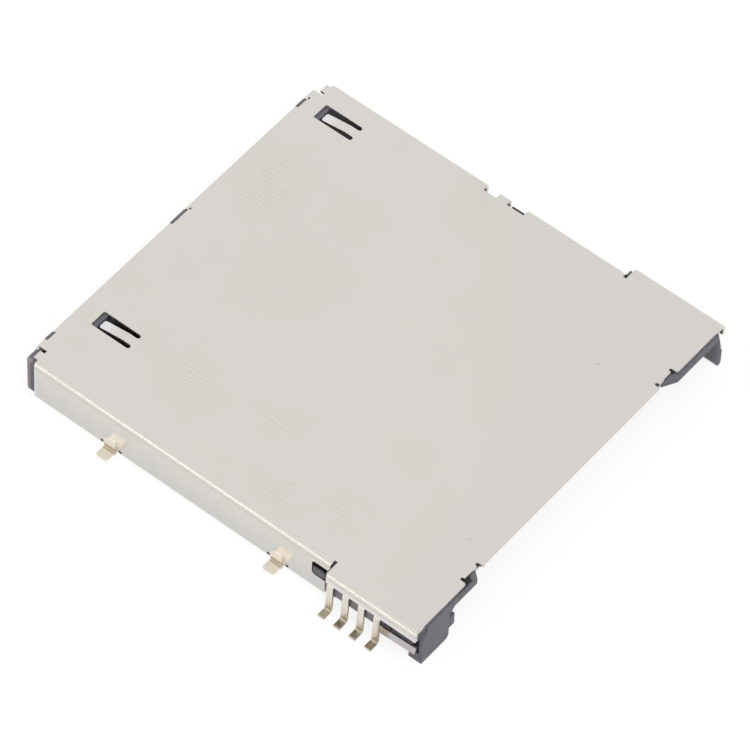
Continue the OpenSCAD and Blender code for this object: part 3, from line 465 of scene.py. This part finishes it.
def shell_finish():
    """Satin nickel sheet with finger marks on its top and cream tinned solder tabs, with painted
    highlights, shade and reflections.
    """
    f = Finish("shell_metal")
    on_top = f.between(f.z, *PLATE_RISE)
    radius = f.away(ARC["at"])
    stain = f.times(plate_marks(f, radius), on_top)
    colour = f.blend(f.clouds("nickel"), NICKEL, NICKEL_WARM)
    colour = f.blend(f.between(radius, ARC["radius"], ARC["radius"] + ARC["fade"]), colour, NICKEL_FAR)
    colour = f.blend(f.times(stain, STAIN_TINT), colour, NICKEL_STAIN)
    colour = f.blend(f.times(f.spots(SPECKS), on_top, SPECK_TINT), colour, SPECK)
    wall = f.inside(**WALL)
    # Painted shade: side walls darker and greyer towards their bottom
    colour = f.blend(wall, colour, f.blend(f.between(f.z, *WALL_SHADE_FALL), NICKEL_SIDE, NICKEL_LOW_SHADED))
    # Painted reflection: cream sheen of each tab on the side wall
    colour = f.blend(f.times(wall, painted_tab_reflection(f)), colour, TAB_REFLECTION_CREAM)
    # Painted highlight: lighter band at the side wall's rear end
    colour = f.blend(f.times(wall, f.inside(**WALL_END_HIGHLIGHT)), colour, NICKEL_END_HIGHLIGHT)
    # Painted reflection: dark line along the wall under the fold
    colour = f.blend(f.inside(**WALL_DARK_REFLECTION), colour, NICKEL_DARK_REFLECTION)
    # Painted shading: lips darker at the top, lighter and bluer below
    lip_shading = f.blend(f.between(f.z, *LIP_LIGHT_FALL), NICKEL_LIP_SHADED, NICKEL_LIP_LOW_LIT)
    colour = f.blend(f.inside(**LIP), colour, lip_shading)
    # Painted highlight: the mouth's middle edge almost white
    colour = f.blend(f.inside(**MOUTH_EDGE_HIGHLIGHT), colour, NICKEL_EDGE_HIGHLIGHT)
    # Painted highlight: tongue tips lighter towards their ends
    tip_highlight = f.times(f.inside(**TONGUE_TIPS_LIT), f.between(f.y, *TONGUE_RISE))
    colour = f.blend(tip_highlight, colour, NICKEL_TIP_HIGHLIGHT)
    # Painted shade: near black at the relief slits
    for slit in SLITS:
        shade = f.inside(side=(slit - SLIT_HALF, slit + SLIT_HALF), **SLIT)
        colour = f.blend(shade, colour, NICKEL_SLIT_SHADE)
    # Tinned tabs: painted shade on the lobe, painted light on the foot
    tab = f.blend(f.inside(**TAB_FOOT_LIT), SOLDER_LOBE_SHADED, SOLDER_FOOT_LIT)
    # Painted shade: dark line in the tab's crease
    tab = f.blend(f.inside(**TAB_CREASE_SHADE), tab, SOLDER_CREASE_SHADE)
    colour = f.blend(f.inside(**TAB), colour, tab)
    fold = f.most([f.inside(**zone) for zone in FOLDS])
    # Painted highlight: the left folds tinted warm cream
    colour = f.blend(f.times(fold, f.inside(**FOLD_HIGHLIGHT_SIDE)), colour, NICKEL_FOLD_HIGHLIGHT)
    rough = f.math("ADD", f.clouds("nickel_rough"), f.times(stain, STAIN_ROUGH))
    rough = f.math("SUBTRACT", rough, f.times(fold, FOLD_POLISH))
    relief = f.relief("nickel_grain")
    relief = f.relief("nickel_dents", normal=relief)
    relief = f.relief("fold_dents", normal=relief, share=fold)
    f.set(Base_Color=colour, Metallic=1.0, Roughness=rough, Normal=relief)
    return f.material


def moulded_skin(f, colour, rough):
    """Fine matt skin with speckle."""
    colour = f.vector("SCALE", {0: colour, "Scale": f.clouds("speckle")})
    skin = f.relief("moulded_skin")
    f.set(Base_Color=colour, Roughness=rough, Specular_IOR_Level=PLASTIC_SPECULAR, Normal=skin)


def frame_finish():
    """Slate plastic: painted light along the pins, rusty at the rear left corner, deep shade in three
    places.
    """
    f = Finish("frame_plastic")
    colour = f.blend(f.clouds("plastic"), SLATE, SLATE_PALE)
    # Painted light on the bar behind the pins
    colour = f.blend(f.inside(**PIN_BAR_LIT), colour, SLATE_BAR_LIT)
    colour = f.blend(f.inside(**RUST_CORNER), colour, SLATE_RUST)
    for place in DEEP_PLACES:
        colour = f.blend(f.inside(**place), colour, SLATE_DEEP)
    moulded_skin(f, colour, f.clouds("frame_rough"))
    return f.material


def slider_finish():
    """Natural white plastic."""
    f = Finish("slider_plastic")
    colour = f.blend(f.clouds("plastic"), NATURAL, NATURAL_PALE)
    moulded_skin(f, colour, f.clouds("slider_rough"))
    return f.material


def contact_finish():
    """Gold flash on the contacts, silver on the soldered tails."""
    f = Finish("contact_metal")
    gold = f.blend(f.clouds("gold"), GOLD, GOLD_PALE)
    colour = f.blend(f.between(f.y, *TAIL_RISE), gold, SILVER)
    f.set(Base_Color=colour, Metallic=1.0)
    f.set(Roughness=f.clouds("gold_rough"), Normal=f.relief("contact_lines"))
    return f.material


def switch_finish():
    """Tinned pins: beige shanks with bronze cut edges, painted shade in the bend, mottled feet, a silver
    leaf that starts bronze.
    """
    f = Finish("switch_metal")
    shank = f.blend(f.clouds("shank"), BEIGE, BEIGE_PALE)
    colour = f.blend(f.between(f.z, *SHANK_FALL), shank, BEIGE_LOW)
    colour = f.blend(f.inside(**LEAF_ARM), colour, LEAF)
    colour = f.blend(f.times(f.inside(**LEAF_ROOT), ROOT_TINT), colour, BRONZE)
    facing = f.add("ShaderNodeSeparateXYZ", {0: f.coordinates["Normal"]}).outputs["Y"]
    cut = f.between(f.math("ABSOLUTE", facing), *CUT_FACING)
    colour = f.blend(f.times(cut, f.inside(**SHANKS)), colour, BRONZE_CUT)
    # Painted shade: dark band at the pins' bend
    colour = f.blend(f.inside(**PIN_CREASE_SHADE), colour, CREASE_SHADE)
    foot = f.times(f.inside(**PIN_FOOT), f.between(f.y, *FOOT_ROW, *FOOT_MOTTLE))
    colour = f.blend(f.times(foot, f.clouds("mottle")), colour, OLIVE)
    f.set(Base_Color=colour, Metallic=1.0)
    f.set(Roughness=f.clouds("shank_rough"), Normal=f.relief("shank_lines"))
    return f.material


def wire_finish(name):
    """Drawn steel wire with a fine grain."""
    f = Finish(name)
    colour = f.blend(f.clouds("steel"), STEEL, STEEL_DARK)
    f.set(Base_Color=colour, Metallic=1.0)
    f.set(Roughness=f.clouds("steel_rough"), Normal=f.relief("wire_grain"))
    return f.material


def shading_group():
    """Modifier tree that shades faces smooth and keeps edges over the limit sharp."""
    group = bpy.data.node_groups.new("smooth_by_angle", "GeometryNodeTree")
    group.interface.new_socket("Geometry", in_out="INPUT", socket_type="NodeSocketGeometry")
    group.interface.new_socket("Geometry", in_out="OUTPUT", socket_type="NodeSocketGeometry")
    start = group.nodes.new("NodeGroupInput")
    end = group.nodes.new("NodeGroupOutput")
    angle = group.nodes.new("GeometryNodeInputMeshEdgeAngle")
    over = group.nodes.new("FunctionNodeCompare")
    over.operation = "GREATER_THAN"
    over.inputs[1].default_value = SHARP
    shade = group.nodes.new("GeometryNodeSetMeshNormal")
    shade.mode = "SHARPNESS"
    shade.inputs["Remove Custom"].default_value = True
    group.links.new(angle.outputs["Unsigned Angle"], over.inputs[0])
    group.links.new(start.outputs[0], shade.inputs["Mesh"])
    group.links.new(over.outputs[0], shade.inputs["Edge Sharpness"])
    group.links.new(shade.outputs[0], end.inputs[0])
    return group


def soften(obj, width, group):
    """Welds the CAD faces and rounds the edges a little, with flat faces kept flat in the shading."""
    weld = obj.modifiers.new("weld", "WELD")
    weld.merge_threshold = WELD_GAP * MM
    shade = obj.modifiers.new("shade", "NODES")
    shade.node_group = group
    edge = obj.modifiers.new("edge", "BEVEL")
    edge.width = width * MM
    edge.segments = EDGE_SEGMENTS
    edge.limit_method = "ANGLE"
    edge.angle_limit = SHARP
    edge.harden_normals = True


def make_spring(material):
    """Drawn coil with closed end turns, in place of the faceted one."""
    low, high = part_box("eject_spring")
    middle = (low + high) / 2
    coil = (high.x - low.x - WIRE) / 2
    start = low.y + WIRE / 2
    length = high.y - low.y - WIRE
    open_turns = TURNS - 2 * END_TURNS
    pitch = (length - 2 * END_TURNS * WIRE) / open_turns
    points = []
    for k in range(TURNS * TURN_STEPS + 1):
        turn = k / TURN_STEPS
        closed = min(turn, END_TURNS) + max(turn - open_turns - END_TURNS, 0)
        along = start + WIRE * closed + pitch * min(max(turn - END_TURNS, 0), open_turns)
        a = math.tau * turn
        for j in range(WIRE_SIDES):
            b = math.tau * j / WIRE_SIDES
            q = coil + WIRE / 2 * math.cos(b)
            x = middle.x + q * math.cos(a)
            y = along + WIRE / 2 * math.sin(b)
            z = middle.z + q * math.sin(a)
            points.append((x, y, z))
    rings = len(points) // WIRE_SIDES
    faces = [
        [k * WIRE_SIDES + j, k * WIRE_SIDES + (j + 1) % WIRE_SIDES,
         (k + 1) * WIRE_SIDES + (j + 1) % WIRE_SIDES, (k + 1) * WIRE_SIDES + j]
        for k in range(rings - 1) for j in range(WIRE_SIDES)
    ]
    faces += [list(range(WIRE_SIDES))[::-1], list(range((rings - 1) * WIRE_SIDES, rings * WIRE_SIDES))]
    mesh = bpy.data.meshes.new("spring_coil")
    mesh.from_pydata(points, [], faces)
    mesh.polygons.foreach_set("use_smooth", [True] * len(mesh.polygons))
    mesh.materials.append(material)
    spring = bpy.data.objects.new("spring_coil", mesh)
    bpy.context.scene.collection.objects.link(spring)
    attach(spring, "socket")
    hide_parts("eject_spring")
    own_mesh(spring)


def seen_rays(tree):
    """1 for what the camera sees directly, mirrored or through glass, else 0."""
    rays = tree.nodes.new("ShaderNodeLightPath")
    total = rays.outputs["Is Camera Ray"]
    for name in ("Is Glossy Ray", "Is Transmission Ray"):
        either = tree.nodes.new("ShaderNodeMath")
        either.operation = "MAXIMUM"
        tree.links.new(total, either.inputs[0])
        tree.links.new(rays.outputs[name], either.inputs[1])
        total = either.outputs[0]
    return total


def make_floor():
    """Pale floor that shows as white, with the deep shade below the socket."""
    half = FLOOR_SIZE / 2
    z = cad_box[0][2] - FLOOR_DROP
    corners = [(-half, -half, z), (half, -half, z), (half, half, z), (-half, half, z)]
    mesh = bpy.data.meshes.new("floor")
    mesh.from_pydata(corners, [], [(0, 1, 2, 3)])
    f = Finish("floor")
    shade = f.most([f.inside(**zone) for zone in SHADES])
    glow = f.times(f.between(shade, 0, 1, FLOOR_GLOW, 0), seen_rays(f.tree))
    f.set(Base_Color=f.between(shade, 0, 1, FLOOR_GREY, SHADE_GREY), Roughness=1.0, Specular_IOR_Level=0.0)
    f.set(Emission_Color=WHITE, Emission_Strength=glow)
    mesh.materials.append(f.material)
    floor = bpy.data.objects.new("floor", mesh)
    bpy.context.scene.collection.objects.link(floor)


def make_light():
    """White surroundings with an even fill, and two soft lamps."""
    world = bpy.data.worlds.new("studio")
    world.use_nodes = True
    bpy.context.scene.world = world
    tree = world.node_tree
    strength = tree.nodes.new("ShaderNodeMapRange")
    strength.inputs["To Min"].default_value = SKY_FILL
    strength.inputs["To Max"].default_value = 1.0
    tree.links.new(seen_rays(tree), strength.inputs["Value"])
    background = tree.nodes["Background"]
    background.inputs["Color"].default_value = (*WHITE, 1)
    tree.links.new(strength.outputs[0], background.inputs["Strength"])
    for name, facts in LAMPS.items():
        data = bpy.data.lights.new(name, "AREA")
        data.shape = "RECTANGLE"
        data.size, data.size_y = facts["size"]
        data.energy = facts["share"] * (math.pi * LAMP_DISTANCE) ** 2
        lamp = bpy.data.objects.new(name, data)
        towards = Vector(facts["towards"]).normalized()
        lamp.location = towards * LAMP_DISTANCE
        lamp.rotation_euler = towards.to_track_quat("Z", "Y").to_euler()
        bpy.context.scene.collection.objects.link(lamp)


def make_camera():
    """The photograph's own view."""
    ahead = math.cos(ELEVATION)
    back = Vector((math.sin(AZIMUTH) * ahead, -math.cos(AZIMUTH) * ahead, math.sin(ELEVATION)))
    level = UP.cross(back).normalized()
    rise = back.cross(level)
    right = math.cos(ROLL) * level + math.sin(ROLL) * rise
    up = math.cos(ROLL) * rise - math.sin(ROLL) * level
    pixel = MM / PIXELS_PER_MM
    place = TARGET + back * FOCAL * pixel
    place -= right * (TARGET_PIXEL[0] - IMAGE / 2) * pixel
    place += up * (TARGET_PIXEL[1] - IMAGE / 2) * pixel
    data = bpy.data.cameras.new("camera")
    data.sensor_width = SENSOR
    data.lens = FOCAL / IMAGE * SENSOR
    data.clip_start = CLIP_START
    camera = bpy.data.objects.new("camera", data)
    camera.matrix_world = Matrix.Translation(place) @ Matrix((right, up, back)).transposed().to_4x4()
    bpy.context.scene.collection.objects.link(camera)
    bpy.context.scene.camera = camera


finishes = {
    "shell_metal": shell_finish(),
    "frame_plastic": frame_finish(),
    "slider_plastic": slider_finish(),
    "contact_metal": contact_finish(),
    "switch_metal": switch_finish(),
    "wire_steel": wire_finish("wire_steel"),
    "spring_steel": wire_finish("spring_steel"),
}
smooth = shading_group()
for part in frame["record"]["subparts"]:
    node = frame["nodes"][part["node"]]
    slot = part["material_slot"]
    node.material_slots[0].material = finishes[slot]
    if slot in EDGES:
        soften(node, EDGES[slot], smooth)
make_spring(finishes["spring_steel"])
make_camera()
make_floor()
make_light()
bpy.context.scene.view_settings.view_transform = "Standard"
